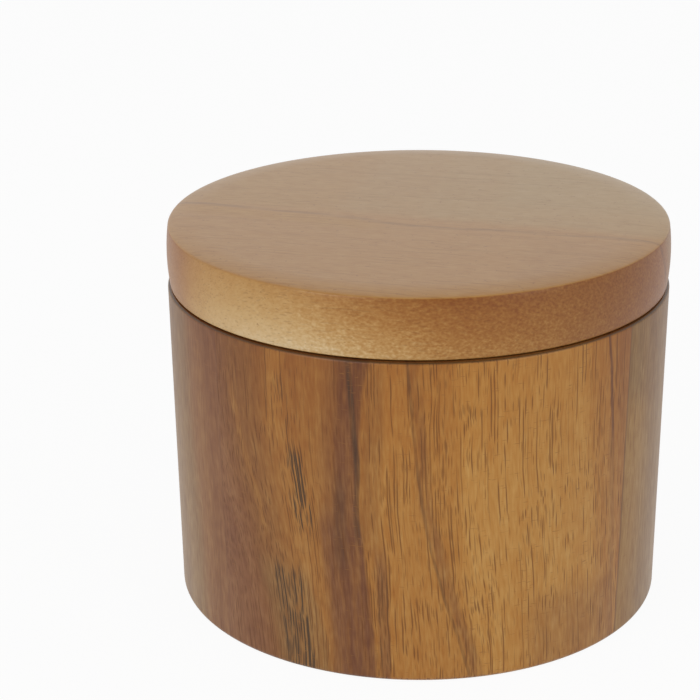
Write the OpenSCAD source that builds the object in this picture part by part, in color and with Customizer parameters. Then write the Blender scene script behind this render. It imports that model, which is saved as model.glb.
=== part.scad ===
// Round wooden spice box with a swivel lid.
// The box is turned and bored from a block of four boards glued face to face, with the grain upright.
// The lid is one turned board that swings flat round a hidden steel pin at the back of the rim,
// and a pair of disc magnets at the front holds it closed.
// The frame's origin is the centre of the base, +Z is up and -Y is the front.

/* [Box] */
// Outer diameter of the lid at its widest, and of the box at its rim
box_d = 102; // [90:0.5:125]
// How much narrower the box is at its base than at its rim
taper = 2; // [0:0.25:4]
// Height of the box without its lid
box_h = 66.5; // [45:0.5:110]
// Thickness of the wall, measured level
wall = 9.5; // [9:0.25:13]
// Thickness of the floor
floor_t = 9; // [5:0.5:14]
// Radius of the cove between the wall and the floor inside
cove_r = 6; // [1:0.5:12]
// Rounding of the outer edge at the base
foot_round = 1.2; // [0.4:0.1:2]
// Rounding of the outer edge at the rim
rim_round = 0.6; // [0.2:0.1:1]
// Rounding of the inner edge at the rim
mouth_round = 1; // [0.2:0.1:1]

/* [Boards] */
// Thickness of each of the two inner boards; the two outer ones take the rest
board_t = 31.75; // [26:0.25:34]

/* [Lid] */
// Thickness of the lid
lid_t = 12.7; // [11:0.1:20]
// Bulge of the lid's side: how much wider the lid is at half height than at its faces
lid_bulge = 0.5; // [0.1:0.05:0.8]
// How far the lid's top falls towards its edge
lid_fall = 0.6; // [0.2:0.05:1]
// Width of the ring over which the lid's top falls
lid_fall_w = 7; // [4:0.5:12]
// Rounding of the lid's upper edge
lid_top_round = 0.5; // [0.2:0.1:1]
// Rounding of the lid's lower edge
lid_bottom_round = 0.4; // [0.2:0.1:1]
// Gap between the rim and the lid
lid_gap = 0.3; // [0.2:0.1:1.2]

/* [Pivot] */
// Diameter of the steel pin
pin_d = 4; // [3:0.1:4.4]
// Length of pin glued into the lid
pin_in_lid = 8.5; // [6:0.5:9.5]
// Length of pin that turns inside the sleeve
pin_in_box = 13; // [10:0.5:18]
// Chamfer at both ends of the pin
pin_chamfer = 0.5; // [0.2:0.1:0.8]
// Depth of the groove that keeps the pin in its sleeve
groove_depth = 0.4; // [0.3:0.05:0.6]
// Width of that groove along the pin
groove_w = 1.6; // [1.4:0.1:2.4]
// Distance from the groove's middle to the pin's lower end
groove_from_end = 3.5; // [2.5:0.5:5]
// Wall of the sleeve that is glued into the rim
sleeve_wall = 1.3; // [1:0.1:1.6]
// Height of the sleeve's snap ridge above its bore
ridge_h = 0.3; // [0.2:0.05:0.3]
// Width of the snap ridge at its root
ridge_w = 1.1; // [0.8:0.1:1.2]
// Width of the ring of washer round its hole
washer_ring = 1.9; // [1:0.1:2]

/* [Magnets] */
// Diameter of the disc magnets
magnet_d = 6; // [4:0.5:7]
// Thickness of the disc magnets
magnet_t = 3; // [2:0.5:5]
// Chamfer of the magnets' edges
magnet_chamfer = 0.2; // [0.1:0.05:0.4]

/* [Fits] */
// Radial clearance of the pin in its sleeve
running_gap = 0.05; // [0.02:0.01:0.1]
// Radial room for glue round the pin, the sleeve and the magnets
glue_gap = 0.05; // [0.02:0.01:0.15]
// Radial clearance of the washer round the pin
washer_gap = 0.15; // [0.05:0.05:0.4]
// Space between the pin's lower end and the bottom of its hole
pin_end_gap = 0.8; // [0.3:0.1:2]
// Space between the pin's upper end and the bottom of its hole in the lid
lid_hole_spare = 0.3; // [0.1:0.1:0.8]

/* [Hidden] */
$fn = 180;

golden_wood = [0.66, 0.47, 0.25];
brown_wood = [0.56, 0.39, 0.22];
lid_wood = [0.68, 0.51, 0.32];
steel = [0.72, 0.72, 0.74];
nylon = [0.92, 0.91, 0.86];
nickel = [0.80, 0.79, 0.76];

// Reach of a cutting shape past the surface that it cuts
over = 1;
// Each rounding reaches past the faces that it joins by this much, to cross them instead of just touching
hair = 0.001;
// Turn of the lathed shapes about their axis, so that their start line is off every glue plane
start_turn = 30;
rim_r = box_d / 2;
base_r = rim_r - taper / 2;
lid_z = box_h + lid_gap;

// The pin and the magnets stand in the middle of the rim, at the back and at the front
seat_r = rim_r - wall / 2;
pin_r = pin_d / 2;
sleeve_bore_r = pin_r + running_gap;
sleeve_r = sleeve_bore_r + sleeve_wall;
sleeve_h = pin_in_box + pin_end_gap;
groove_r = pin_r - groove_depth;
ridge_r = sleeve_bore_r - ridge_h;
groove_z = groove_from_end - pin_in_box;
washer_bore_r = pin_r + washer_gap;
washer_r = washer_bore_r + washer_ring;

// The magnets stand proud of the wood by half the gap each, so that their faces meet
magnet_proud = lid_gap / 2;
magnet_sink = magnet_t - magnet_proud;

// Lean of the box's side from upright, outwards going up; the inside leans alike
lean = atan2(rim_r - base_r, box_h);
side_normal = [cos(lean), -sin(lean)];
function side_r(z) = base_r + (rim_r - base_r) * z / box_h;

// Centre of an arc of the given radius that touches the outer side, at height z
function outer_arc(radius, z) = [side_r(z) - radius / cos(lean), z];

// The same for an arc inside the hollow, which touches the wall from within
function inner_arc(radius, z) = [side_r(z) - wall - radius / cos(lean), z];

// The same for an arc inside the wood, which touches the wall of the hollow
function wall_arc(radius, z) = [side_r(z) - wall + radius / cos(lean), z];

// The lid's side and the falling ring of its top are arcs; heights here count from the lid's underside
function arc_r(half_chord, rise) = (half_chord * half_chord + rise * rise) / (2 * rise);
lid_side_r = arc_r(lid_t / 2, lid_bulge);
lid_side_centre = [rim_r - lid_side_r, lid_t / 2];
lid_fall_r = arc_r(lid_fall_w, lid_fall);
lid_fall_centre = [rim_r - lid_fall_w, lid_t - lid_fall_r];

// The outer one of the two points at distance a from p and at distance b from q
function meeting(p, a, q, b) =
    let (span = norm(q - p), along = (a * a - b * b + span * span) / (2 * span), u = (q - p) / span)
    p + along * u + sqrt(a * a - along * along) * [-u[1], u[0]] * sign(-u[1] + u[0]);

// Direction from one point to another
function towards(p, q) = (q - p) / norm(q - p);

// Takes the sharp corner off a profile, with an arc about the given centre
// that runs between the edges whose outward normals are a and b
module corner_cut(centre, radius, a, b) {
    reach = radius + over;
    translate(centre) difference() {
        polygon([[0, 0], reach * a, reach * (a + b), reach * b]);
        circle(r = radius + hair);
    }
}

// Half section of the solid blank, before it is hollowed
module blank_section() {
    difference() {
        polygon([[0, 0], [base_r, 0], [rim_r, box_h], [0, box_h]]);
        corner_cut(outer_arc(foot_round, foot_round), foot_round, [0, -1], side_normal);
        corner_cut(outer_arc(rim_round, box_h - rim_round), rim_round, side_normal, [0, 1]);
    }
}

// Half section of the hollow, which follows the outside at the thickness of the wall
module hollow_section() {
    top = box_h + over;
    difference() {
        polygon([[0, floor_t], [side_r(floor_t) - wall, floor_t], [side_r(top) - wall, top], [0, top]]);
        corner_cut(inner_arc(cove_r, floor_t + cove_r), cove_r, side_normal, [0, -1]);
    }
}

module box_section() {
    difference() {
        blank_section();
        hollow_section();
        corner_cut(wall_arc(mouth_round, box_h - mouth_round), mouth_round, [0, 1], -side_normal);
    }
}

module lid_section() {
    top_c = meeting(
        lid_fall_centre, lid_fall_r - lid_top_round, lid_side_centre, lid_side_r - lid_top_round
    );
    low = lid_t / 2 - lid_bottom_round;
    reach = lid_side_r - lid_bottom_round;
    low_c = [lid_side_centre[0] + sqrt(reach * reach - low * low), lid_bottom_round];
    difference() {
        intersection() {
            square([rim_r + over, lid_t]);
            translate(lid_side_centre) circle(r = lid_side_r);
        }
        corner_cut(lid_fall_centre, lid_fall_r, [0, 1], [1, 0]);
        corner_cut(top_c, lid_top_round, towards(lid_fall_centre, top_c), towards(lid_side_centre, top_c));
        corner_cut(low_c, lid_bottom_round, [0, -1], towards(lid_side_centre, low_c));
    }
}

// The part of the turned box that lies between two upright glue planes
module board(y_from, y_to) {
    intersection() {
        rotate([0, 0, start_turn]) rotate_extrude() box_section();
        translate([-rim_r - over, y_from, -over])
            cube([2 * (rim_r + over), y_to - y_from, box_h + 2 * over]);
    }
}

// Blind hole sunk into the rim, open upwards
module rim_hole(radius, depth) {
    translate([0, 0, box_h - depth]) cylinder(r = radius, h = depth + over);
}

// Blind hole in the underside of the lid
module lid_hole(radius, depth) {
    translate([0, 0, lid_z - over]) cylinder(r = radius, h = depth + over);
}

module at_pivot() { translate([0, seat_r, 0]) children(); }

module at_magnet() { translate([0, -seat_r, 0]) children(); }

module box_board_front() {
    color(golden_wood) difference() {
        board(-rim_r - over, -board_t);
        at_magnet() rim_hole(magnet_d / 2 + glue_gap, magnet_sink);
    }
}

module box_board_mid_front() { color(brown_wood) board(-board_t, 0); }

module box_board_mid_back() { color(golden_wood) board(0, board_t); }

module box_board_back() {
    color(brown_wood) difference() {
        board(board_t, rim_r + over);
        at_pivot() rim_hole(sleeve_r + glue_gap, sleeve_h);
    }
}

module lid() {
    color(lid_wood) difference() {
        translate([0, 0, lid_z]) rotate([0, 0, start_turn]) rotate_extrude() lid_section();
        at_pivot() lid_hole(pin_r + glue_gap, pin_in_lid + lid_hole_spare);
        at_magnet() lid_hole(magnet_d / 2 + glue_gap, magnet_sink);
    }
}

// Steel pin: its upper part is glued into the lid, its lower part turns in the sleeve
module pivot_pin() {
    low = box_h - pin_in_box;
    high = lid_z + pin_in_lid;
    tip_r = pin_r - pin_chamfer;
    color(steel) at_pivot() difference() {
        translate([0, 0, low]) rotate_extrude() polygon([
            [0, 0], [tip_r, 0], [pin_r, pin_chamfer],
            [pin_r, high - low - pin_chamfer], [tip_r, high - low], [0, high - low]
        ]);
        translate([0, 0, box_h + groove_z - groove_w / 2]) difference() {
            cylinder(r = pin_r + over, h = groove_w);
            translate([0, 0, -over]) cylinder(r = groove_r, h = groove_w + 2 * over);
        }
    }
}

// Nylon sleeve, open at both ends, with a snap ridge that sits in the pin's groove
module pivot_sleeve() {
    color(nylon) at_pivot() translate([0, 0, box_h - sleeve_h]) rotate_extrude() {
        ridge_mid = sleeve_h + groove_z;
        polygon([
            [sleeve_bore_r, 0], [sleeve_r, 0], [sleeve_r, sleeve_h], [sleeve_bore_r, sleeve_h],
            [sleeve_bore_r, ridge_mid + ridge_w / 2], [ridge_r, ridge_mid],
            [sleeve_bore_r, ridge_mid - ridge_w / 2]
        ]);
    }
}

// Washer that carries the lid at the pivot and sets the gap
module pivot_washer() {
    color(nylon) at_pivot() translate([0, 0, box_h]) difference() {
        cylinder(r = washer_r, h = lid_gap);
        translate([0, 0, -over]) cylinder(r = washer_bore_r, h = lid_gap + 2 * over);
    }
}

module disc_magnet(z) {
    edge_r = magnet_d / 2 - magnet_chamfer;
    color(nickel) at_magnet() translate([0, 0, z]) rotate_extrude() polygon([
        [0, 0], [edge_r, 0], [magnet_d / 2, magnet_chamfer],
        [magnet_d / 2, magnet_t - magnet_chamfer], [edge_r, magnet_t], [0, magnet_t]
    ]);
}

module box_magnet() { disc_magnet(box_h - magnet_sink); }

module lid_magnet() { disc_magnet(lid_z - magnet_proud); }

box_board_front();
box_board_mid_front();
box_board_mid_back();
box_board_back();
lid();
pivot_pin();
pivot_sleeve();
pivot_washer();
box_magnet();
lid_magnet();
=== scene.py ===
import math
import bmesh
import bpy
from mathutils import Matrix, Vector


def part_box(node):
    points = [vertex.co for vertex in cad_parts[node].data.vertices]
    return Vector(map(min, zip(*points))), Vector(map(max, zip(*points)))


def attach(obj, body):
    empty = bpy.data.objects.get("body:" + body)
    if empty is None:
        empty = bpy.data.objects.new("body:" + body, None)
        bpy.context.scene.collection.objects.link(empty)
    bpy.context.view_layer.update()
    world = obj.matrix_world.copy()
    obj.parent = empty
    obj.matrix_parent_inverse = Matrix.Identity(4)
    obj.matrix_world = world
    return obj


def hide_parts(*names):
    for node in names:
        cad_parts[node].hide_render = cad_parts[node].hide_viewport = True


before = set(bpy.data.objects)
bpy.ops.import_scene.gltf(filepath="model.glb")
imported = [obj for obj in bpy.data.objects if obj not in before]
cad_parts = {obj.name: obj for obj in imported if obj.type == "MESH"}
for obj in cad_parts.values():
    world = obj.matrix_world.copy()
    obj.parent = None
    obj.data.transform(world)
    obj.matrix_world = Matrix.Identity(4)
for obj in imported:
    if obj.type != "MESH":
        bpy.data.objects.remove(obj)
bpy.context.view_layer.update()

mm = 0.001
print("frame loaded")


def toLinear(hexColour):
    # sRGB hex to the linear colour that the shaders take
    parts = [int(hexColour[i:i + 2], 16) / 255 for i in (1, 3, 5)]
    return tuple(c / 12.92 if c <= 0.04045 else ((c + 0.055) / 1.055) ** 2.4 for c in parts) + (1.0,)


def addNode(tree, kind, inputs=None, **settings):
    # one node with its settings; an input is a value or another node's output
    node = tree.nodes.new(kind)
    for name, value in settings.items():
        setattr(node, name, value)
    for key, value in (inputs or {}).items():
        if isinstance(value, bpy.types.NodeSocket):
            tree.links.new(value, node.inputs[key])
        else:
            node.inputs[key].default_value = value
    return node


cameraPlace = {
    "lens": 111.545,           # mm, on a 36 mm sensor
    "target": 80.1 * mm,       # height of a point on the box's axis, just over the lid
    "distance": 0.43993,       # from the lens to that point
    "pitch": 20.6,             # degrees down
    "roll": 0.566,
    "aim": (67.97, -139.39),   # where that point lies, in pixels off the picture's middle
    "frame": 700,
}


def makeCamera(place):
    data = bpy.data.cameras.new("productLens")
    data.lens, data.sensor_width = place["lens"], 36.0
    data.clip_start, data.clip_end = 0.01, 20.0
    camera = bpy.data.objects.new("productLens", data)
    bpy.context.scene.collection.objects.link(camera)
    pitch, roll = math.radians(place["pitch"]), math.radians(place["roll"])
    ahead = Vector((0, math.cos(pitch), -math.sin(pitch)))
    level = Vector((1, 0, 0))
    down = ahead.cross(level)
    right = math.cos(roll) * level + math.sin(roll) * down
    below = -math.sin(roll) * level + math.cos(roll) * down
    focal = place["lens"] / 36.0 * place["frame"]
    sight = (right * place["aim"][0] + below * place["aim"][1] + ahead * focal).normalized()
    eye = Vector((0, 0, place["target"])) - sight * place["distance"]
    turn = Matrix((right, -below, -ahead)).transposed().to_4x4()
    camera.matrix_world = Matrix.Translation(eye) @ turn
    bpy.context.scene.camera = camera


makeCamera(cameraPlace)

boxTurning = {
    "baseRadius": 50.0 * mm,
    "wall": 9.5 * mm,
    "floor": 9.0 * mm,
    "cove": 6.0 * mm,
    "footRound": 1.2 * mm,
    "rimRound": 0.6 * mm,
    "mouthRound": 1.0 * mm,
    "seatFromEdge": 4.75 * mm,    # the pin and the magnets stand in the middle of the wall
    "gluePocket": 0.05 * mm,      # radial room for glue round what is let into the wood
    "segments": 288,
    "cornerSteps": 7,
}
lidTurning = {
    "bulge": 0.5 * mm,            # how much wider the lid is at half height
    "fall": 0.6 * mm,             # how far the top falls towards the edge
    "fallWidth": 7.0 * mm,
    "topRound": 0.5 * mm,
    "bottomRound": 0.4 * mm,
    "spareDepth": 0.3 * mm,
    "segments": 288,
    "cornerSteps": 6,
}


def turnedTree():
    # section (points with a rounding) -> rounded corners -> turned about Z -> cut between two upright planes
    tree = bpy.data.node_groups.new("turnedFromSection", "GeometryNodeTree")
    face = tree.interface
    face.new_socket("Section", in_out="INPUT", socket_type="NodeSocketGeometry")
    for name, kind in (("Segments", "NodeSocketInt"), ("Corner Steps", "NodeSocketInt"),
                       ("Cut", "NodeSocketBool"), ("From", "NodeSocketFloat"), ("To", "NodeSocketFloat"),
                       ("Wood", "NodeSocketMaterial")):
        face.new_socket(name, in_out="INPUT", socket_type=kind)
    face.new_socket("Turned", in_out="OUTPUT", socket_type="NodeSocketGeometry")
    given = addNode(tree, "NodeGroupInput").outputs
    line = addNode(tree, "GeometryNodeMeshToCurve", {"Mesh": given["Section"]})
    rounding = addNode(tree, "GeometryNodeInputNamedAttribute", {"Name": "rounding"}, data_type="FLOAT")
    soft = addNode(tree, "GeometryNodeFilletCurve", {
        "Curve": line.outputs[0], "Count": given["Corner Steps"],
        "Radius": rounding.outputs["Attribute"], "Limit Radius": True}, mode="POLY")
    points = addNode(tree, "GeometryNodeCurveToPoints", {"Curve": soft.outputs[0]}, mode="EVALUATED")
    size = addNode(tree, "GeometryNodeAttributeDomainSize", {"Geometry": points.outputs[0]},
                   component="POINTCLOUD")
    rows = size.outputs["Point Count"]
    columns = addNode(tree, "ShaderNodeMath", {0: given["Segments"], 1: 1.0}, operation="ADD").outputs[0]
    grid = addNode(tree, "GeometryNodeMeshGrid", {"Vertices X": columns, "Vertices Y": rows})
    index = addNode(tree, "GeometryNodeInputIndex").outputs[0]
    row = addNode(tree, "ShaderNodeMath", {0: index, 1: rows}, operation="MODULO").outputs[0]
    column = addNode(tree, "ShaderNodeMath", {0: index, 1: rows}, operation="DIVIDE").outputs[0]
    whole = addNode(tree, "ShaderNodeMath", {0: column}, operation="FLOOR").outputs[0]
    share = addNode(tree, "ShaderNodeMath", {0: whole, 1: given["Segments"]}, operation="DIVIDE").outputs[0]
    angle = addNode(tree, "ShaderNodeMath", {0: share, 1: math.tau}, operation="MULTIPLY").outputs[0]
    place = addNode(tree, "GeometryNodeInputPosition").outputs[0]
    picked = addNode(tree, "GeometryNodeSampleIndex", {
        "Geometry": points.outputs[0], "Value": place, "Index": row},
        data_type="FLOAT_VECTOR", domain="POINT").outputs[0]
    turned = addNode(tree, "ShaderNodeVectorRotate", {
        "Vector": picked, "Axis": (0, 0, 1), "Angle": angle}, rotation_type="AXIS_ANGLE").outputs[0]
    lathed = addNode(tree, "GeometryNodeSetPosition", {"Geometry": grid.outputs["Mesh"], "Position": turned})
    closed = addNode(tree, "GeometryNodeMergeByDistance", {
        "Geometry": lathed.outputs[0], "Distance": 0.002 * mm}).outputs[0]
    depth = addNode(tree, "ShaderNodeMath", {0: given["To"], 1: given["From"]},
                    operation="SUBTRACT").outputs[0]
    total = addNode(tree, "ShaderNodeMath", {0: given["To"], 1: given["From"]}, operation="ADD").outputs[0]
    middle = addNode(tree, "ShaderNodeMath", {0: total, 1: 0.5}, operation="MULTIPLY").outputs[0]
    slabSize = addNode(tree, "ShaderNodeCombineXYZ", {"X": 0.2, "Y": depth, "Z": 0.3}).outputs[0]
    slabPlace = addNode(tree, "ShaderNodeCombineXYZ", {"Y": middle}).outputs[0]
    slab = addNode(tree, "GeometryNodeMeshCube", {"Size": slabSize}).outputs["Mesh"]
    slabAt = addNode(tree, "GeometryNodeTransform", {"Geometry": slab, "Translation": slabPlace}).outputs[0]
    board = addNode(tree, "GeometryNodeMeshBoolean", operation="INTERSECT", solver="EXACT")
    tree.links.new(closed, board.inputs["Mesh 2"])
    tree.links.new(slabAt, board.inputs["Mesh 2"])
    chosen = addNode(tree, "GeometryNodeSwitch", {
        "Switch": given["Cut"], "False": closed, "True": board.outputs["Mesh"]}, input_type="GEOMETRY")
    real = addNode(tree, "GeometryNodeRealizeInstances", {"Geometry": chosen.outputs[0]})
    dressed = addNode(tree, "GeometryNodeSetMaterial", {
        "Geometry": real.outputs[0], "Material": given["Wood"]})
    addNode(tree, "NodeGroupOutput", {"Turned": dressed.outputs[0]})
    return tree


def drilledTree():
    # one upright blind hole, from its bottom up or down to its mouth
    tree = bpy.data.node_groups.new("drilledHole", "GeometryNodeTree")
    face = tree.interface
    face.new_socket("Solid", in_out="INPUT", socket_type="NodeSocketGeometry")
    for name, kind in (("Place", "NodeSocketVector"), ("Radius", "NodeSocketFloat"),
                       ("Low", "NodeSocketFloat"), ("High", "NodeSocketFloat"), ("Wood", "NodeSocketMaterial")):
        face.new_socket(name, in_out="INPUT", socket_type=kind)
    face.new_socket("Drilled", in_out="OUTPUT", socket_type="NodeSocketGeometry")
    given = addNode(tree, "NodeGroupInput").outputs
    depth = addNode(tree, "ShaderNodeMath", {0: given["High"], 1: given["Low"]},
                    operation="SUBTRACT").outputs[0]
    total = addNode(tree, "ShaderNodeMath", {0: given["High"], 1: given["Low"]}, operation="ADD").outputs[0]
    middle = addNode(tree, "ShaderNodeMath", {0: total, 1: 0.5}, operation="MULTIPLY").outputs[0]
    lift = addNode(tree, "ShaderNodeCombineXYZ", {"Z": middle}).outputs[0]
    there = addNode(tree, "ShaderNodeVectorMath", {0: given["Place"], 1: lift}, operation="ADD").outputs[0]
    drill = addNode(tree, "GeometryNodeMeshCylinder", {
        "Vertices": 72, "Radius": given["Radius"], "Depth": depth}, fill_type="NGON").outputs["Mesh"]
    drillAt = addNode(tree, "GeometryNodeTransform", {"Geometry": drill, "Translation": there}).outputs[0]
    cut = addNode(tree, "GeometryNodeMeshBoolean", {"Mesh 1": given["Solid"], "Mesh 2": drillAt},
                  operation="DIFFERENCE", solver="EXACT").outputs["Mesh"]
    real = addNode(tree, "GeometryNodeRealizeInstances", {"Geometry": cut})
    dressed = addNode(tree, "GeometryNodeSetMaterial", {
        "Geometry": real.outputs[0], "Material": given["Wood"]})
    addNode(tree, "NodeGroupOutput", {"Drilled": dressed.outputs[0]})
    return tree


def addTree(piece, tree, values):
    modifier = piece.modifiers.new(tree.name, "NODES")
    modifier.node_group = tree
    sockets = {s.name: s.identifier for s in tree.interface.items_tree if s.in_out == "INPUT"}
    for name, value in values.items():
        modifier[sockets[name]] = value


turning, drilling = turnedTree(), drilledTree()


def turnPiece(name, section, shape, wood, slab=None, holes=()):
    # section: (radius, height, rounding) from the axis at the bottom, round the outside, back to the axis
    mesh = bpy.data.meshes.new(name)
    mesh.from_pydata([(r, 0, z) for r, z, _ in section], [(i, i + 1) for i in range(len(section) - 1)], [])
    mesh.attributes.new("rounding", "FLOAT", "POINT").data.foreach_set("value", [p[2] for p in section])
    piece = bpy.data.objects.new(name, mesh)
    bpy.context.scene.collection.objects.link(piece)
    addTree(piece, turning, {
        "Segments": shape["segments"], "Corner Steps": shape["cornerSteps"], "Cut": slab is not None,
        "From": slab[0] if slab else -1.0, "To": slab[1] if slab else 1.0, "Wood": wood})
    for place, radius, low, high in holes:
        addTree(piece, drilling, {"Place": place, "Radius": radius, "Low": low, "High": high, "Wood": wood})
    evaluated = piece.evaluated_get(bpy.context.evaluated_depsgraph_get())
    solid = bpy.data.meshes.new_from_object(evaluated)
    piece.modifiers.clear()
    solid.name = name
    piece.data = solid
    bpy.data.meshes.remove(mesh)
    work = bmesh.new()
    work.from_mesh(solid)
    bmesh.ops.remove_doubles(work, verts=work.verts, dist=0.0005 * mm)
    bmesh.ops.dissolve_degenerate(work, edges=work.edges, dist=0.0005 * mm)
    bmesh.ops.recalc_face_normals(work, faces=work.faces)
    if work.calc_volume(signed=True) < 0:
        bmesh.ops.reverse_faces(work, faces=work.faces)
    openEdges = sum(1 for e in work.edges if len(e.link_faces) != 2)
    print(name, "faces", len(work.faces), "open edges", openEdges,
          "cm3", round(work.calc_volume(signed=True) * 1e6, 2))
    work.to_mesh(solid)
    work.free()
    solid.shade_smooth()
    solid.set_sharp_from_angle(angle=math.radians(24))
    return piece


def boxSection(shape, rimRadius, height):
    base, wall, floorTop = shape["baseRadius"], shape["wall"], shape["floor"]
    lean = (rimRadius - base) / height
    return [
        (0, 0, 0), (base * 0.5, 0, 0), (base, 0, shape["footRound"]),
        (base + lean * height * 0.5, height * 0.5, 0),
        (rimRadius, height, shape["rimRound"]), (rimRadius - wall, height, shape["mouthRound"]),
        (base + lean * height * 0.5 - wall, height * 0.5, 0),
        (base + lean * floorTop - wall, floorTop, shape["cove"]),
        (base * 0.4, floorTop, 0), (0, floorTop, 0),
    ]


def arc(halfChord, rise, steps):
    # points of a shallow arc, as (share of the half chord, drop from the crown)
    radius = (halfChord ** 2 + rise ** 2) / (2 * rise)
    for i in range(steps + 1):
        across = halfChord * i / steps
        yield across, radius - math.sqrt(radius ** 2 - across ** 2)


def lidSection(shape, rimRadius, low, high):
    middle, half = (low + high) / 2, (high - low) / 2
    side = [(rimRadius - drop, up) for up, drop in arc(half, shape["bulge"], 7)]
    fall = list(arc(shape["fallWidth"], shape["fall"], 7))
    inner = rimRadius - shape["fallWidth"]
    points = [(0, low, 0), (rimRadius * 0.5, low, 0), (side[-1][0], low, shape["bottomRound"])]
    points += [(r, middle - up, 0) for r, up in reversed(side[:-1])]
    points += [(r, middle + up, 0) for r, up in side[1:-1]]
    # the corner where the side's arc meets the falling top
    points.append((side[-1][0] + 0.04 * mm, high - fall[-1][1], shape["topRound"]))
    points += [(inner + across, high - drop, 0) for across, drop in reversed(fall[:-1])]
    points += [(inner * 0.5, high, 0), (0, high, 0)]
    return points


acaciaColours = {
    "gold": "#BA853F",        # clear golden heartwood
    "honey": "#AE7734",
    "amber": "#A06A2D",
    "tan": "#9C7238",
    "dun": "#8C6532",
    "olive": "#806035",
    "brown": "#8C5B28",
    "redBrown": "#83522A",
    "umber": "#6B3D22",       # mineral streak
    "ink": "#46301A",
    "pore": "#67390C",
    "glue": "#5A3416",
    "pale": "#CBA772",        # sapwood, as it is before any depth of colour
    "straw": "#CBA660",
    "ash": "#C9C3A8",         # greyer sapwood
}

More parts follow.
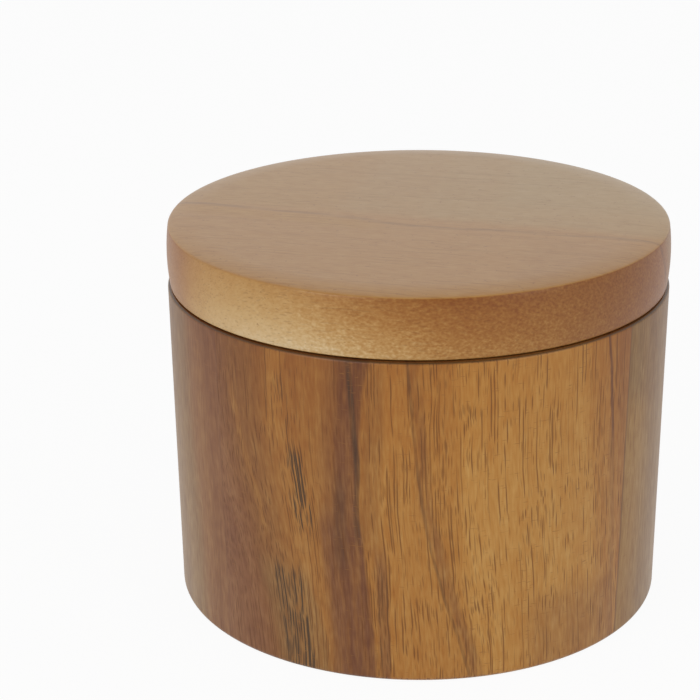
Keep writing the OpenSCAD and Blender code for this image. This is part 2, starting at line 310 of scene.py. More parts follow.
frontBoardLook = {
    # directions: across the board, into it, and along its grain
    "across": (1, 0, 0), "deep": (0, 1, 0), "along": (0, 0, 1),
    "offset": (0, 0, 0),             # mm, so that every board is cut from another place in the tree
    "length": (0, 66.5),             # mm along the grain
    # the fibres drift sideways: how far by place across, in mm, and what share of it by place along
    "sweep": [(-51, 11), (-34, 9.5), (-23, 6), (-12, 2.5), (0, 3), (20, 4), (51, 3)],
    "sweepShare": [(0, 1), (0.16, 0.9), (0.27, 0.76), (0.36, 0.62), (0.47, 0.44), (0.56, 0.3),
                   (0.71, 0.13), (1, 0)],
    "ringTilt": 0.12,                # how far the rings lean into the board
    "face": -50,                     # mm into the board where the places across it are given
    "wander": 1.6, "ripple": 0.7,    # mm
    # colour across the board: mm from the middle, and the colour there
    "bands": [(-50, "redBrown"), (-40, "redBrown"), (-34, "brown"), (-27, "amber"), (-24, "amber"),
              (-15, "amber"), (-9, "honey"), (2, "honey"), (8, "gold"), (31, "gold"), (35, "honey"),
              (37, "honey"), (40, "amber"), (51, "brown")],
    # streaks: path of (mm along, mm across), its edges from soft to full and full to soft, colour,
    # strength, the stretch along the board where it shows, and how broken it is
    "streaks": [
        ([(0, -9.4), (10, -9.8), (25, -11.2), (36, -12.3), (50, -12.2), (60, -11.6), (66.5, -10.4)],
         (-9.5, -2.6, -0.7, 0.25), "umber", 0.85, (28, 80)),
        ([(0, -9.4), (10, -9.8), (25, -11.2), (36, -12.3), (50, -12.2), (66.5, -11.3)],
         (-9.0, -6.6, -0.7, 0.25), "umber", 0.88, (-9, 38)),
        ([(0, -8.4), (30, -8.6), (66.5, -8.0)], (-4.2, -2.6, -0.8, 1.0), "brown", 0.6, (24, 70)),
        ([(0, -6.5), (10, -6.6), (30, -7.6), (66.5, -9.5)], (-3.2, -1.6, -0.5, 0.2), "umber", 0.6, (-9, 32)),
        ([(0, -12), (30, -12.6), (45, -12.6), (54, -13.2), (66.5, -14.2)],
         (-1.1, -0.5, 0.0, 0.4), "ink", 0.7, (26, 70), 0.5),
        ([(0, -15.8), (66.5, -16.2)], (-1.9, -0.3, 0.3, 2.2), "ink", 0.35, (20, 46)),
        ([(0, 10.4), (4, 9.4), (12, 7.2), (20, 4.8), (28, 3.0), (38, 0.3), (50, -0.9), (66.5, -2.6)],
         (-2.2, -0.7, 0.2, 1.5), "umber", 0.5, None, 0.75),
        ([(0, 8.8), (12, 5.6), (20, 3.4), (38, -0.6), (66.5, -3.6)],
         (-0.5, -0.2, 0.1, 0.4), "ink", 0.45, None, 0.9),
        ([(0, 39.3), (47, 38.0), (66.5, 36.4)], (-0.4, -0.1, 0.1, 0.5), "umber", 0.85, (40, 75)),
        ([(0, 39.8), (28, 39.2), (42, 38.2), (66.5, 36)], (-1.4, -0.2, 0.1, 0.5), "brown", 0.6, (-8, 50)),
        ([(0, -24), (22, -24.6), (45, -27.4), (66.5, -27.2)], (-2.6, -0.8, 0.6, 2.0), "gold", 0.4, (44, 75)),
        ([(0, -26), (28, -29.6), (50, -34), (66.5, -36)], (-1.0, -0.2, 0.1, 0.8), "honey", 0.35, (24, 60)),
        ([(0, -21), (12, -23), (24, -26), (66.5, -31)], (-7.0, -4.6, 2.6, 4.0), "olive", 0.5, (-8, 25)),
        # a darker patch low at the right of the board, near the foot
        ([(0, 33), (66.5, 33)], (-15, -9, 5, 8), "redBrown", 0.45, (-12, 19)),
    ],
    # depth of colour, how much painted shade deepens it towards the rim, and how far it swings in slow streaks,
    # fine fibres and clouds
    "depth": 1.0, "rimShade": 0.16, "tone": 0.10, "fibre": 0.1, "cloud": 0.06,
    # size of each pattern in mm: across the board, into it and along its grain
    "size": {"tone": (2.6, 5.2, 60), "fibre": (0.4, 0.7, 3.6), "cloud": (2.4, 2.4, 3.2),
             "mottle": (1.0, 3, 9), "crowd": (4, 9, 30), "vessel": (0.6, 0.6, 1), "waver": (6, 6, 16),
             "cell": (0.34, 0.34, 4), "fleck": (2.0, 2.5, 0.28), "curl": (0.5, 0.5, 0.9)},
    # how dark and how rare the short pores and the long vessels are, and how dark the marks across the grain
    "pores": 0.5, "poreRarity": 0.5, "lines": 0.74, "lineRarity": 0.3, "flecks": 0.6,
    # denser pores: path, half width, stretch along the board, how much denser
    "crowds": [
        ([(0, -22.6), (30, -22.6), (45, -24.2), (66.5, -25.4)], 1.9, (27, 49), 0.9),
        ([(0, -23.0), (12, -24.6), (24, -26.6), (66.5, -31)], 3.4, (-6, 25), 0.9),
        ([(0, -20), (66.5, -26)], 3.2, (0, 66), 0.25),
        ([(0, 8), (66.5, 1)], 10.0, (-8, 74), 0.28),
        ([(0, -8.0), (66.5, -9)], 2.0, (-8, 30), 0.45),
        ([(0, -35), (66.5, -35)], 14.0, (-8, 74), 0.28),
    ],
    "roughness": 0.4, "sideRoughness": 0.4, "ior": 1.43,
    "endGrain": 0.62,                # how much darker the end grain is
    "side": None,                    # only a lid has a side with its own depth of colour
}
plainBoard = {**frontBoardLook, "streaks": [], "crowds": []}
midFrontLook = {
    **plainBoard, "offset": (37, 11, 90), "sweep": [(-51, 3), (51, -2)], "ringTilt": -0.05,
    "bands": [(-51, "dun"), (-49, "dun"), (-46, "brown"), (-40, "redBrown"), (-20, "brown"), (0, "amber"),
              (20, "brown"), (37, "tan"), (41, "tan"), (45, "dun"), (51, "dun")],
    "streaks": [([(0, 40), (66.5, 40)], (-4, -1.5, 1, 5), "olive", 0.6, (46, 80))],
    "pores": 0.3, "lines": 0.4,
}
midBackLook = {
    **plainBoard, "offset": (-61, 47, 210), "sweep": [(-51, -2), (51, 4)], "ringTilt": 0.3,
    "bands": [(-51, "tan"), (-30, "gold"), (-8, "honey"), (6, "brown"), (22, "gold"), (40, "honey"),
              (51, "brown")],
    "streaks": [([(0, 44), (30, 42), (66.5, 45)], (-3, -1, -0.2, 0.8), "umber", 0.6, None)],
}
backBoardLook = {
    **plainBoard, "offset": (83, -29, 340), "sweep": [(-51, 5), (51, 6)], "ringTilt": -0.25,
    "bands": [(-51, "brown"), (-30, "amber"), (-14, "honey"), (4, "gold"), (18, "gold"), (30, "honey"),
              (51, "brown")],
    "streaks": [([(0, 22), (20, 19), (45, 20), (66.5, 17)], (-0.6, -0.1, 3.0, 6.5), "umber", 0.8, None),
                ([(0, -12), (30, -9), (66.5, -10)], (-1.4, -0.4, 0.3, 1.6), "umber", 0.5, None)],
    "crowds": [([(0, 30), (66.5, 28)], 4.0, (0, 60), 0.5)],
}
lidLook = {
    **plainBoard, "across": (0.2419, 0.9703, 0), "deep": (0, 0, 1), "along": (0.9703, -0.2419, 0),
    "offset": (15, 70, 500), "length": (-51, 51), "sweep": [(-51, 1.5), (51, -1.5)],
    "ringTilt": 0.5, "face": 79.3, "endGrain": 0,
    "bands": [(-51, "pale"), (51, "pale")],
    # the top is greyer behind one line across it, most at the right, and straw-coloured at the left
    "streaks": [
        ([(-51, -2), (51, -8)], (-1, 5, 60, 70), "ash", 0.12, None, 0.1),
        ([(-51, -2), (51, -8)], (-1, 7, 60, 70), "ash", 0.07, (-20, 90), 0.1),
        ([(-51, -2), (51, -8)], (-1, 7, 60, 70), "ash", 0.07, (-4, 90), 0.1),
        ([(-51, 8), (51, 2)], (-1, 12, 60, 70), "ash", 0.12, (10, 90), 0.1),
        ([(-51, -2), (51, -8)], (-1, 5, 60, 70), "straw", 0.25, (-70, -14), 0.2),
        ([(-51, -3), (-8, -8)], (-7, -2.5, 0.2, 1.4), "straw", 0.5, (-70, -2), 0.3),
        ([(-51, -14), (51, -22)], (-30, -18, 4, 12), "tan", 0.08, (22, 70), 0.2),
        ([(-51, -1.6), (-44, -2.1), (-24, -4.0), (-12, -5.6), (2, -8.6), (18, -7.9), (51, -8.4)],
         (-1.6, -0.3, 0.2, 1.2), "olive", 0.24, None, 1.0),
    ],
    "depth": 1.62, "rimShade": 0, "tone": 0.03, "fibre": 0.04, "cloud": 0.035,
    "size": {**frontBoardLook["size"], "fleck": (1.0, 0.32, 0.8), "cloud": (2.4, 1.8, 2.8),
             "vessel": (0.8, 0.8, 1), "curl": (0.5, 0.5, 0.8)},
    "pores": 0.22, "poreRarity": 0.5, "lines": 0.22, "lineRarity": 0.5, "flecks": 0.5,
    "roughness": 0.3, "ior": 1.45,
    # on the side, by place along the grain: depth of colour low and added high, and how far the curls swing it;
    # partly the wood's own tone, partly painted light and shade: pale left of the front from sapwood and
    # painted light, painted shade deeper to the right and at the top
    "side": {
        "low": [(-51, 2.2), (-42, 1.95), (-36, 1.28), (-30, 0.95), (-14, 0.78), (3.5, 1.2), (20.6, 1.76),
                (35, 1.98), (45, 2.35), (51, 2.5)],
        "topShadeAndFinish": [(-51, 0.1), (-42, 0.3), (-30, 0.53), (-14, 0.8), (3.5, 0.98), (20.6, 0.9), (35, 0.46),
                  (45, 0.15), (51, 0)],
        "curl": [(-51, 0.28), (-20, 0.34), (-4, 1.1), (14, 1.4), (51, 1.2)],
        "heights": (67.5, 79.0),
    },
}


# what all the acacia shares; lengths in mm, other ranges in shares of a pattern
acaciaFigure = {
    "half": 51,                                          # half of the widest board
    "wanderSize": (16, 16, 42), "rippleSize": (4, 4, 9),
    "leastDrift": -10, "driftRange": 30,                 # what a board's sweep may reach from, and how far
    "waver": 2.0,                                        # how far a vessel swings in and out of the surface
    "endFade": 8,                                        # over which a streak's or a crowd's end fades
    "usualBreak": 0.35, "brokenAt": (0.35, 0.6),         # how broken a streak is, and where the mottle does it
    "deepest": 4.0,                                      # depth of colour at the top of a lid side's curves
    "sideFacing": (0.8, 0.35), "endFacing": (0.75, 1.0),
    "rimShadeFrom": 0.6,                                      # share of the height from which painted shade deepens the colour towards the rim
    "crowdWeight": 1.3, "opening": (0.65, 1.05),         # which cells hold a pore
    "vesselWide": 0.28, "cellWide": 0.42,                # share of its cell that a pore fills
    "packedAt": (0.3, 0.8), "packedWider": 0.09, "packedDarker": 0.3,
    "fleckAt": (0.67, 0.76),
    # painted shade in the joint under the lid, on the rim's rounded arris: how far down it reaches, on which
    # faces, how dark
    "arris": (0.4, 0.1), "arrisFacing": (0.99, 0.9), "gapShadeDark": 0.9,
    "seam": (0.3, 0.05), "seamSides": 35, "seamDark": (0.15, 0.5),
    "smoother": 0.04, "fibreRough": 0.08, "poreRough": 0.1, "bump": 0.3, "bumpHeight": 0.03,
}


def fillCurve(node, points, low, high, most):
    # runs a float curve through points, given from low to high across and from 0 to most up
    curve = node.mapping.curves[0]
    spots = [((at - low) / (high - low), value / most) for at, value in points]
    curve.points[0].location, curve.points[-1].location = spots[0], spots[-1]
    for at, value in spots[1:-1]:
        curve.points.new(at, value)
    node.mapping.update()


def offPath(tree, path, share, raised, low, high):
    # how far a place across lies from a path of (mm along, mm across)
    half = acaciaFigure["half"]
    line = addNode(tree, "ShaderNodeFloatCurve", {"Value": share})
    fillCurve(line, [(at, half + x) for at, x in path], low, high, 2 * half)
    return addNode(tree, "ShaderNodeMath", {0: line.outputs[0], 1: -2.0 * half, 2: raised},
                   operation="MULTIPLY_ADD").outputs[0]


def fadeOut(tree, amount, fades):
    # amount times a soft step for each (value, where it is none, where it is full)
    for value, none, full in fades:
        fade = addNode(tree, "ShaderNodeMapRange", {"Value": value, "From Min": none, "From Max": full},
                       interpolation_type="SMOOTHSTEP")
        amount = addNode(tree, "ShaderNodeMath", {0: amount, 1: fade.outputs[0]},
                         operation="MULTIPLY").outputs[0]
    return amount


def makeAcacia(name, look, planes=()):
    # acacia, turned, sanded and lacquered satin: golden figure, fine dark pores, a soft sheen at grazing angles
    material = bpy.data.materials.new(name)
    material.use_nodes = True
    tree = material.node_tree
    tree.nodes.clear()
    colour = {key: toLinear(value) for key, value in acaciaColours.items()}
    low, high = look["length"]
    figure = acaciaFigure
    half = figure["half"]

    # place in the board in mm: u across, v into it, w along the grain
    coords = addNode(tree, "ShaderNodeTexCoord")
    place = addNode(tree, "ShaderNodeVectorMath", {0: coords.outputs["Object"], 1: (1000, 1000, 1000)},
                    operation="MULTIPLY")
    u, v, w = (addNode(tree, "ShaderNodeVectorMath", {0: place.outputs[0], 1: look[way]},
                       operation="DOT_PRODUCT").outputs["Value"] for way in ("across", "deep", "along"))
    local = addNode(tree, "ShaderNodeCombineXYZ", {"X": u, "Y": v, "Z": w})
    raw = addNode(tree, "ShaderNodeVectorMath", {0: local.outputs[0], 1: look["offset"]}, operation="ADD")
    share = addNode(tree, "ShaderNodeMapRange", {"Value": w, "From Min": low, "From Max": high}).outputs[0]
    width = addNode(tree, "ShaderNodeMapRange", {"Value": u, "From Min": -half, "From Max": half}).outputs[0]

    # the rings lean, wander slowly and ripple finely
    tilted = addNode(tree, "ShaderNodeMath", {0: v, 1: look["ringTilt"], 2: u},
                     operation="MULTIPLY_ADD").outputs[0]
    level = -look["face"] * look["ringTilt"] - look["wander"] / 2 - look["ripple"] / 2
    warped = addNode(tree, "ShaderNodeMath", {0: tilted, 1: level}, operation="ADD").outputs[0]
    for amount, size in ((look["wander"], figure["wanderSize"]), (look["ripple"], figure["rippleSize"])):
        scaled = addNode(tree, "ShaderNodeMapping", {
            "Vector": raw.outputs[0], "Scale": [1 / s for s in size]})
        wave = addNode(tree, "ShaderNodeTexNoise", {"Vector": scaled.outputs[0], "Scale": 1.0, "Detail": 1.0})
        warped = addNode(tree, "ShaderNodeMath", {0: wave.outputs["Fac"], 1: amount, 2: warped},
                         operation="MULTIPLY_ADD").outputs[0]

    # the fibres drift along the board, more in one place than in another
    reach = addNode(tree, "ShaderNodeFloatCurve", {"Value": width})
    least, most = figure["leastDrift"], figure["driftRange"]
    fillCurve(reach, [(at, amount - least) for at, amount in look["sweep"]], -half, half, most)
    reach = addNode(tree, "ShaderNodeMath", {0: reach.outputs[0], 1: most, 2: least},
                    operation="MULTIPLY_ADD")
    drift = addNode(tree, "ShaderNodeFloatCurve", {"Value": share})
    fillCurve(drift, look["sweepShare"], 0, 1, 1)
    moved = addNode(tree, "ShaderNodeMath", {0: reach.outputs[0], 1: drift.outputs[0]}, operation="MULTIPLY")
    fibred = addNode(tree, "ShaderNodeMath", {0: warped, 1: moved.outputs[0]},
                     operation="SUBTRACT").outputs[0]
    scaled = addNode(tree, "ShaderNodeMapping", {
        "Vector": raw.outputs[0], "Scale": [1 / s for s in look["size"]["waver"]]})
    waver = addNode(tree, "ShaderNodeTexNoise", {"Vector": scaled.outputs[0], "Scale": 1.0, "Detail": 1.0})
    deeper = addNode(tree, "ShaderNodeMath", {0: waver.outputs["Fac"], 1: figure["waver"], 2: v},
                     operation="MULTIPLY_ADD")
    grain = addNode(tree, "ShaderNodeCombineXYZ", {"X": fibred, "Y": deeper.outputs[0], "Z": w})
    grain = addNode(tree, "ShaderNodeVectorMath", {0: grain.outputs[0], 1: look["offset"]}, operation="ADD")
    pattern = {}
    for key, size in look["size"].items():
        if key == "waver":
            continue
        start = raw if key in ("fleck", "curl", "cloud") else grain
        scaled = addNode(tree, "ShaderNodeMapping", {
            "Vector": start.outputs[0], "Scale": [1 / s for s in size]})
        if key in ("cell", "vessel"):
            pattern[key] = addNode(tree, "ShaderNodeTexVoronoi", {"Vector": scaled.outputs[0], "Scale": 1.0},
                                   voronoi_dimensions="2D" if key == "vessel" else "3D")
        else:
            pattern[key] = addNode(tree, "ShaderNodeTexNoise", {
                "Vector": scaled.outputs[0], "Scale": 1.0, "Detail": 3.0 if key in ("tone", "mottle") else 1.0,
                "Roughness": 0.55}).outputs["Fac"]

    # broad colour across the board
    across = addNode(tree, "ShaderNodeMapRange", {"Value": fibred, "From Min": -half, "From Max": half})
    ramp = addNode(tree, "ShaderNodeValToRGB", {"Fac": across.outputs[0]})
    ramp.color_ramp.interpolation = "EASE"
    stops = ramp.color_ramp.elements
    stops.remove(stops[1])
    first, shade = look["bands"][0]
    stops[0].position, stops[0].color = (first + half) / (2 * half), colour[shade]
    for at, shade in look["bands"][1:]:
        stops.new((at + half) / (2 * half)).color = colour[shade]
    paint = ramp.outputs["Color"]

    # streaks that run their own way
    raised = addNode(tree, "ShaderNodeMath", {0: warped, 1: half}, operation="ADD").outputs[0]
    for path, edges, shade, strength, stretch, *broken in look["streaks"]:
        off = offPath(tree, path, share, raised, low, high)
        fades = [(off, edges[0], edges[1]), (off, edges[3], edges[2])]
        if stretch:
            fades += [(w, stretch[0], stretch[0] + figure["endFade"]),
                      (w, stretch[1], stretch[1] - figure["endFade"])]
        amount = addNode(tree, "ShaderNodeMapRange", {
            "Value": pattern["mottle"], "From Min": figure["brokenAt"][0], "From Max": figure["brokenAt"][1],
            "To Min": 1.0 - (broken[0] if broken else figure["usualBreak"]), "To Max": 1.0}).outputs[0]
        amount = fadeOut(tree, amount, fades)
        amount = addNode(tree, "ShaderNodeMath", {0: amount, 1: strength}, operation="MULTIPLY").outputs[0]
        paint = addNode(tree, "ShaderNodeMix", {0: amount, 6: paint, 7: colour[shade]},
                        data_type="RGBA").outputs[2]

    # depth of colour: an exponent, so that deeper wood is also more saturated
    normal = coords.outputs["Normal"]
    depth, rough = look["depth"], look["roughness"] - figure["smoother"]
    if look["side"]:
        # the side of a lid: its own uneven finish along the board together with painted light and shade, pale
        # where the light falls left of the front, darker to the right, and painted shade deepening it towards
        # its upper edge
        upright = addNode(tree, "ShaderNodeVectorMath", {0: normal, 1: look["deep"]}, operation="DOT_PRODUCT")
        steep = addNode(tree, "ShaderNodeMath", {0: upright.outputs["Value"]}, operation="ABSOLUTE")
        side = addNode(tree, "ShaderNodeMapRange", {
            "Value": steep.outputs[0], "From Min": figure["sideFacing"][0],
            "From Max": figure["sideFacing"][1]},
            interpolation_type="SMOOTHSTEP").outputs[0]
        deepest = figure["deepest"]
        along = []
        for key in ("low", "topShadeAndFinish", "curl"):
            line = addNode(tree, "ShaderNodeFloatCurve", {"Value": share})
            fillCurve(line, look["side"][key], low, high, deepest)
            along.append(line.outputs[0])
        # painted shade, with some deeper finish, growing towards the side's upper edge
        rise = addNode(tree, "ShaderNodeMapRange", {
            "Value": v, "From Min": look["side"]["heights"][0], "From Max": look["side"]["heights"][1],
            "To Max": deepest})
        there = addNode(tree, "ShaderNodeMath", {0: along[0], 1: deepest}, operation="MULTIPLY")
        there = addNode(tree, "ShaderNodeMath", {0: rise.outputs[0], 1: along[1], 2: there.outputs[0]},
                        operation="MULTIPLY_ADD")
        swing = addNode(tree, "ShaderNodeMath", {0: pattern["curl"], 1: 0.5}, operation="SUBTRACT")
        swing = addNode(tree, "ShaderNodeMath", {0: swing.outputs[0], 1: deepest}, operation="MULTIPLY")
        curly = addNode(tree, "ShaderNodeMath", {0: swing.outputs[0], 1: along[2], 2: there.outputs[0]},
                        operation="MULTIPLY_ADD")
        depth = addNode(tree, "ShaderNodeMix", {0: side, 2: depth, 3: curly.outputs[0]}).outputs[0]
        rough = addNode(tree, "ShaderNodeMix", {
            0: side, 2: rough, 3: look["sideRoughness"] - figure["smoother"]}).outputs[0]
    # noise keeps to the middle half of its range, so it is taken four times to swing by the whole amount
    varied = 1.0 - 2 * (look["tone"] + look["fibre"] + look["cloud"])
    for key in ("tone", "fibre", "cloud"):
        varied = addNode(tree, "ShaderNodeMath", {0: pattern[key], 1: 4 * look[key], 2: varied},
                         operation="MULTIPLY_ADD").outputs[0]
    # painted shade: the colour deepens towards the rim
    rimShadeRise = addNode(tree, "ShaderNodeMapRange", {
        "Value": share, "From Min": figure["rimShadeFrom"], "From Max": 1.0, "To Max": look["rimShade"]})
    varied = addNode(tree, "ShaderNodeMath", {0: varied, 1: rimShadeRise.outputs[0]}, operation="ADD").outputs[0]
    depth = addNode(tree, "ShaderNodeMath", {0: varied, 1: depth}, operation="MULTIPLY").outputs[0]
    paint = addNode(tree, "ShaderNodeGamma", {"Color": paint, "Gamma": depth}).outputs[0]

    # end grain drinks more finish
    facing = addNode(tree, "ShaderNodeVectorMath", {0: normal, 1: look["along"]}, operation="DOT_PRODUCT")
    facing = addNode(tree, "ShaderNodeMath", {0: facing.outputs["Value"]}, operation="ABSOLUTE")
    ends = addNode(tree, "ShaderNodeMapRange", {
        "Value": facing.outputs[0], "From Min": figure["endFacing"][0], "From Max": figure["endFacing"][1],
        "To Max": look["endGrain"]})
    paint = addNode(tree, "ShaderNodeMix", {0: ends.outputs[0], 6: paint, 7: colour["umber"]},
                    data_type="RGBA").outputs[2]

    # vessels: thin tubes along the fibres that the surface cuts lengthwise, crowded in places, and short pores
    crowding = 0.0
    for path, reachOut, stretch, more in look["crowds"]:
        off = offPath(tree, path, share, raised, low, high)
        away = addNode(tree, "ShaderNodeMath", {0: off}, operation="ABSOLUTE").outputs[0]
        amount = fadeOut(tree, more, [(away, reachOut, reachOut * 0.5),
                                      (w, stretch[0], stretch[0] + figure["endFade"]),
                                      (w, stretch[1], stretch[1] - figure["endFade"])])
        crowding = addNode(tree, "ShaderNodeMath", {0: crowding, 1: amount}, operation="ADD").outputs[0]
    packed = addNode(tree, "ShaderNodeMapRange", {
        "Value": crowding, "From Min": figure["packedAt"][0], "From Max": figure["packedAt"][1]}).outputs[0]
    pore = 0.0
    for key, wide, rarity, strength in (("vessel", figure["vesselWide"], look["lineRarity"], look["lines"]),
                                        ("cell", figure["cellWide"], look["poreRarity"], look["pores"])):
        own = addNode(tree, "ShaderNodeSeparateColor", {0: pattern[key].outputs["Color"]})
        luck = addNode(tree, "ShaderNodeMath", {
            0: pattern["crowd"], 1: figure["crowdWeight"], 2: own.outputs[0]},
                       operation="MULTIPLY_ADD")
        luck = addNode(tree, "ShaderNodeMath", {0: luck.outputs[0], 1: crowding}, operation="ADD")
        opened = addNode(tree, "ShaderNodeMapRange", {
            "Value": luck.outputs[0], "From Min": rarity + figure["opening"][0],
            "From Max": rarity + figure["opening"][1]})
        closer = addNode(tree, "ShaderNodeMath", {
            0: packed, 1: -figure["packedWider"], 2: pattern[key].outputs["Distance"]},
            operation="MULTIPLY_ADD")
        near = addNode(tree, "ShaderNodeMapRange", {
            "Value": closer.outputs[0], "From Min": wide, "From Max": wide * 0.5, "To Max": strength})
        hole = addNode(tree, "ShaderNodeMath", {0: near.outputs[0], 1: opened.outputs[0]},
                       operation="MULTIPLY")
        pore = addNode(tree, "ShaderNodeMath", {0: pore, 1: hole.outputs[0]}, operation="MAXIMUM").outputs[0]
    more = addNode(tree, "ShaderNodeMath", {0: packed, 1: figure["packedDarker"], 2: 1.0},
                   operation="MULTIPLY_ADD")
    pore = addNode(tree, "ShaderNodeMath", {0: pore, 1: more.outputs[0]}, operation="MULTIPLY",
                   use_clamp=True).outputs[0]
    dark = addNode(tree, "ShaderNodeMix", {0: packed, 6: colour["pore"], 7: colour["ink"]}, data_type="RGBA")
    paint = addNode(tree, "ShaderNodeMix", {0: pore, 6: paint, 7: dark.outputs[2]},
                    data_type="RGBA").outputs[2]

    # a few short marks across the grain
    mark = addNode(tree, "ShaderNodeMapRange", {
        "Value": pattern["fleck"], "From Min": figure["fleckAt"][0], "From Max": figure["fleckAt"][1],
        "To Max": look["flecks"]})
    paint = addNode(tree, "ShaderNodeMix", {0: mark.outputs[0], 6: paint, 7: colour["brown"]},
                    data_type="RGBA").outputs[2]

    # painted shade: the rounded arris at the rim, in the joint under the lid, is darkened with ink where shade
    # falls
    if look["endGrain"]:
        gapShade = addNode(tree, "ShaderNodeMapRange", {
            "Value": w, "From Min": high - figure["arris"][0], "From Max": high - figure["arris"][1],
            "To Max": figure["gapShadeDark"]})
        rounded = addNode(tree, "ShaderNodeMapRange", {
            "Value": facing.outputs[0], "From Min": figure["arrisFacing"][0],
            "From Max": figure["arrisFacing"][1]})
        gapShade = addNode(tree, "ShaderNodeMath", {0: gapShade.outputs[0], 1: rounded.outputs[0]},
                       operation="MULTIPLY")
        paint = addNode(tree, "ShaderNodeMix", {0: gapShade.outputs[0], 6: paint, 7: colour["ink"]},
                        data_type="RGBA").outputs[2]

    # the glue line where two boards meet, which shows more at the right than at the left
    plain = addNode(tree, "ShaderNodeMapRange", {
        "Value": u, "From Min": -figure["seamSides"], "From Max": figure["seamSides"],
        "To Min": figure["seamDark"][0], "To Max": figure["seamDark"][1]})
    for plane in planes:
        away = addNode(tree, "ShaderNodeMath", {0: v, 1: plane}, operation="SUBTRACT")
        away = addNode(tree, "ShaderNodeMath", {0: away.outputs[0]}, operation="ABSOLUTE")
        seam = addNode(tree, "ShaderNodeMapRange", {
            "Value": away.outputs[0], "From Min": figure["seam"][0], "From Max": figure["seam"][1],
            "To Max": plain.outputs[0]})
        paint = addNode(tree, "ShaderNodeMix", {0: seam.outputs[0], 6: paint, 7: colour["glue"]},
                        data_type="RGBA").outputs[2]

    rough = addNode(tree, "ShaderNodeMath", {0: pattern["fibre"], 1: figure["fibreRough"], 2: rough},
                    operation="MULTIPLY_ADD")
    rough = addNode(tree, "ShaderNodeMath", {0: pore, 1: figure["poreRough"], 2: rough.outputs[0]},
                    operation="MULTIPLY_ADD")
    relief = addNode(tree, "ShaderNodeMath", {0: pore, 1: -1.0, 2: pattern["fibre"]},
                     operation="MULTIPLY_ADD")
    bump = addNode(tree, "ShaderNodeBump", {
        "Height": relief.outputs[0], "Strength": figure["bump"], "Distance": figure["bumpHeight"] * mm})
    surface = addNode(tree, "ShaderNodeBsdfPrincipled", {
        "Base Color": paint, "Roughness": rough.outputs[0], "IOR": look["ior"], "Normal": bump.outputs[0]})
    addNode(tree, "ShaderNodeOutputMaterial", {"Surface": surface.outputs[0]})
    return material


def plainFinish(name, look):
    # small bought-in parts: one colour with fine noise in tone and roughness
    material = bpy.data.materials.new(name)
    material.use_nodes = True
    tree = material.node_tree
    tree.nodes.clear()
    coords = addNode(tree, "ShaderNodeTexCoord")
    spread = addNode(tree, "ShaderNodeMapping", {"Vector": coords.outputs["Object"], "Scale": look["scale"]})
    noise = addNode(tree, "ShaderNodeTexNoise", {"Vector": spread.outputs[0], "Scale": 1.0, "Detail": 3.0})
    ramp = addNode(tree, "ShaderNodeValToRGB", {"Fac": noise.outputs["Fac"]})
    ramp.color_ramp.elements[0].color = toLinear(look["dark"])
    ramp.color_ramp.elements[1].color = toLinear(look["light"])
    rough = addNode(tree, "ShaderNodeMapRange", {
        "Value": noise.outputs["Fac"], "To Min": look["smooth"], "To Max": look["rough"]})
    bump = addNode(tree, "ShaderNodeBump", {
        "Height": noise.outputs["Fac"], "Strength": 0.3, "Distance": look["relief"]})
    inputs = {"Base Color": ramp.outputs["Color"], "Roughness": rough.outputs["Result"],
              "Metallic": look["metal"], "Normal": bump.outputs[0]}
    surface = addNode(tree, "ShaderNodeBsdfPrincipled", inputs)
    addNode(tree, "ShaderNodeOutputMaterial", {"Surface": surface.outputs[0]})
    return material


steelLook = {"scale": (900, 900, 9000), "dark": "#B4B5B8", "light": "#D8D9DB", "smooth": 0.22, "rough": 0.36,
             "metal": 1.0, "relief": 0.002 * mm}
nylonLook = {"scale": (2500, 2500, 2500), "dark": "#DEDACB", "light": "#EFECE2", "smooth": 0.42, "rough": 0.55,
             "metal": 0.0, "relief": 0.004 * mm}
nickelLook = {"scale": (1800, 1800, 1800), "dark": "#BDB9AE", "light": "#D6D3C9", "smooth": 0.14, "rough": 0.24,
              "metal": 1.0, "relief": 0.001 * mm}

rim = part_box("box_board_front")
rimRadius, rimHeight = -rim[0].y, rim[1].z
lidLow, lidHigh = (corner.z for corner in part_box("lid"))
section = boxSection(boxTurning, rimRadius, rimHeight)
seat = rimRadius - boxTurning["seatFromEdge"]
pocket = boxTurning["gluePocket"]


def holeFor(node, place, low=None, high=None):
    # the hole that a let-in part leaves in the wood, with room for glue round it
    small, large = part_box(node)
    radius = (large.x - small.x) / 2 + pocket
    return (place, radius, small.z if low is None else low, large.z if high is None else high)


atPivot, atMagnet = (0, seat, 0), (0, -seat, 0)
over = 1.0 * mm
boards = [
    ("box_board_front", "frontBoard", "acacia golden, satin lacquer", frontBoardLook,
     [holeFor("box_magnet", atMagnet, high=rimHeight + over)]),
    ("box_board_mid_front", "midFrontBoard", "acacia brown, satin lacquer", midFrontLook, []),
    ("box_board_mid_back", "midBackBoard", "acacia honey, satin lacquer", midBackLook, []),
    ("box_board_back", "backBoard", "acacia streaked, satin lacquer", backBoardLook,
     [holeFor("pivot_sleeve", atPivot, high=rimHeight + over)]),
]
for node, name, woodName, look, holes in boards:
    near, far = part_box(node)
    planes = [y / mm for y in (near.y, far.y) if abs(y) < rimRadius - 0.5 * mm]
    wood = makeAcacia(woodName, look, planes)
    reach = [y if abs(y) < rimRadius - 0.5 * mm else math.copysign(0.1, y) for y in (near.y, far.y)]
    board = turnPiece(name, section, boxTurning, wood, slab=reach, holes=holes)
    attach(board, "box")
    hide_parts(node)
print("boards turned")

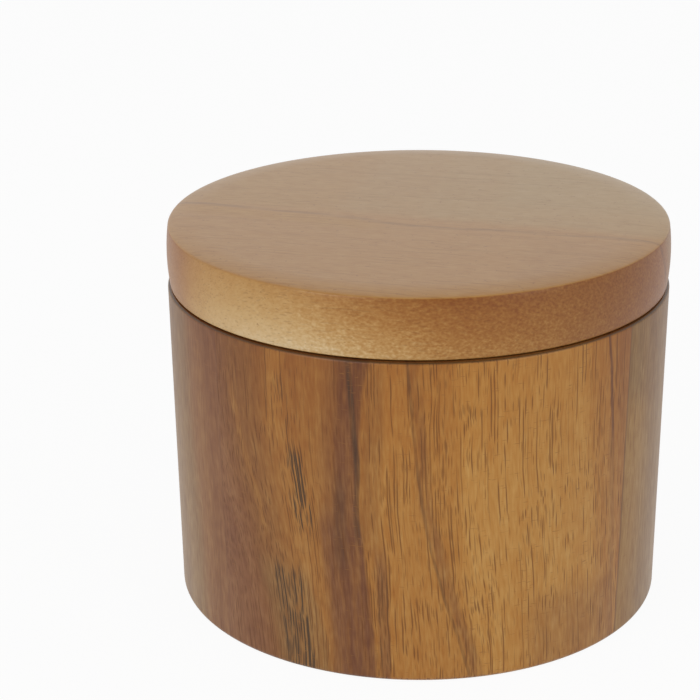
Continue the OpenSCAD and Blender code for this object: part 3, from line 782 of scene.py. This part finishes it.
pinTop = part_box("pivot_pin")[1].z
lidPiece = turnPiece(
    "turnedLid", lidSection(lidTurning, rimRadius, lidLow, lidHigh), lidTurning,
    makeAcacia("acacia pale, satin lacquer", lidLook),
    holes=[holeFor("pivot_pin", atPivot, low=lidLow - over, high=pinTop + lidTurning["spareDepth"]),
           holeFor("lid_magnet", atMagnet, low=lidLow - over)])
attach(lidPiece, "lid")
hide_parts("lid")
print("lid turned")

smallFinishes = {
    "pivot_pin": plainFinish("stainless steel, ground", steelLook),
    "pivot_sleeve": plainFinish("nylon, turned", nylonLook),
    "pivot_washer": plainFinish("nylon, punched", nylonLook),
    "box_magnet": plainFinish("nickel plate, bright", nickelLook),
    "lid_magnet": plainFinish("nickel plate, satin", nickelLook),
}
for node, finish in smallFinishes.items():
    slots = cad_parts[node].material_slots
    for slot in slots:
        slot.material = finish
print("small parts dressed")

studio = {
    "floorRadius": 4.0,
    "floorWhite": "#EFEFEF",
    "floorShown": 0.94,        # share of plain white that the camera and reflections see
    "roomLight": 0.50,         # even light from all round
    "backdrop": 1.0,           # what reflections see behind the object
    "cameraSide": 0.35,        # and above the camera
    # name, place, aim, size, watts
    "lamps": [("softboxLeft", (-0.75, -0.85, 0.55), (0, 0, 0.04), 0.7, 4.6),
              ("softboxRight", (0.85, -0.75, 0.45), (0, 0, 0.04), 0.7, 2.6)],
}


def makeStudio(values):
    disc = bmesh.new()
    bmesh.ops.create_circle(disc, cap_ends=True, segments=96, radius=values["floorRadius"])
    mesh = bpy.data.meshes.new("studioFloor")
    disc.to_mesh(mesh)
    disc.free()
    floor = bpy.data.objects.new("studioFloor", mesh)
    floor.location.z = -0.05 * mm
    bpy.context.scene.collection.objects.link(floor)
    paper = bpy.data.materials.new("paper sweep, white")
    paper.use_nodes = True
    tree = paper.node_tree
    tree.nodes.clear()
    rays = addNode(tree, "ShaderNodeLightPath").outputs
    seen = addNode(tree, "ShaderNodeMath", {0: rays["Is Camera Ray"], 1: rays["Is Glossy Ray"]},
                   operation="ADD")
    seen = addNode(tree, "ShaderNodeMath", {0: seen.outputs[0], 1: rays["Is Transmission Ray"]},
                   operation="ADD", use_clamp=True)
    share = addNode(tree, "ShaderNodeMath", {0: seen.outputs[0], 1: values["floorShown"]},
                    operation="MULTIPLY")
    matte = addNode(tree, "ShaderNodeBsdfDiffuse", {"Color": toLinear(values["floorWhite"])})
    white = addNode(tree, "ShaderNodeEmission", {"Color": (1, 1, 1, 1), "Strength": 1.0})
    mix = addNode(tree, "ShaderNodeMixShader", {
        0: share.outputs[0], 1: matte.outputs[0], 2: white.outputs[0]})
    addNode(tree, "ShaderNodeOutputMaterial", {"Surface": mix.outputs[0]})
    mesh.materials.append(paper)

    world = bpy.data.worlds.new("whiteStudio")
    bpy.context.scene.world = world
    world.use_nodes = True
    tree = world.node_tree
    tree.nodes.clear()
    rays = addNode(tree, "ShaderNodeLightPath").outputs
    toward = addNode(tree, "ShaderNodeTexCoord").outputs["Generated"]
    behind = addNode(tree, "ShaderNodeSeparateXYZ", {0: toward}).outputs["Y"]
    reflected = addNode(tree, "ShaderNodeMapRange", {
        "Value": behind, "From Min": -0.5, "From Max": 0.35,
        "To Min": values["cameraSide"], "To Max": values["backdrop"]}, interpolation_type="SMOOTHSTEP")
    plain = addNode(tree, "ShaderNodeBackground", {"Color": (1, 1, 1, 1), "Strength": values["roomLight"]})
    mirror = addNode(tree, "ShaderNodeBackground", {
        "Color": (1, 1, 1, 1), "Strength": reflected.outputs["Result"]})
    white = addNode(tree, "ShaderNodeBackground", {"Color": (1, 1, 1, 1), "Strength": 1.0})
    clear = addNode(tree, "ShaderNodeMath", {0: rays["Is Camera Ray"], 1: rays["Is Transmission Ray"]},
                    operation="ADD", use_clamp=True)
    first = addNode(tree, "ShaderNodeMixShader", {
        0: rays["Is Glossy Ray"], 1: plain.outputs[0], 2: mirror.outputs[0]})
    second = addNode(tree, "ShaderNodeMixShader", {
        0: clear.outputs[0], 1: first.outputs[0], 2: white.outputs[0]})
    addNode(tree, "ShaderNodeOutputWorld", {"Surface": second.outputs[0]})

    for name, place, aim, size, watts in values["lamps"]:
        data = bpy.data.lights.new(name, "AREA")
        data.shape, data.size, data.energy = "DISK", size, watts
        lamp = bpy.data.objects.new(name, data)
        bpy.context.scene.collection.objects.link(lamp)
        lamp.location = place
        lamp.rotation_mode = "QUATERNION"
        lamp.rotation_quaternion = (Vector(aim) - Vector(place)).to_track_quat("-Z", "Y")
    bpy.context.scene.view_settings.view_transform = "Standard"


makeStudio(studio)
print("studio ready")
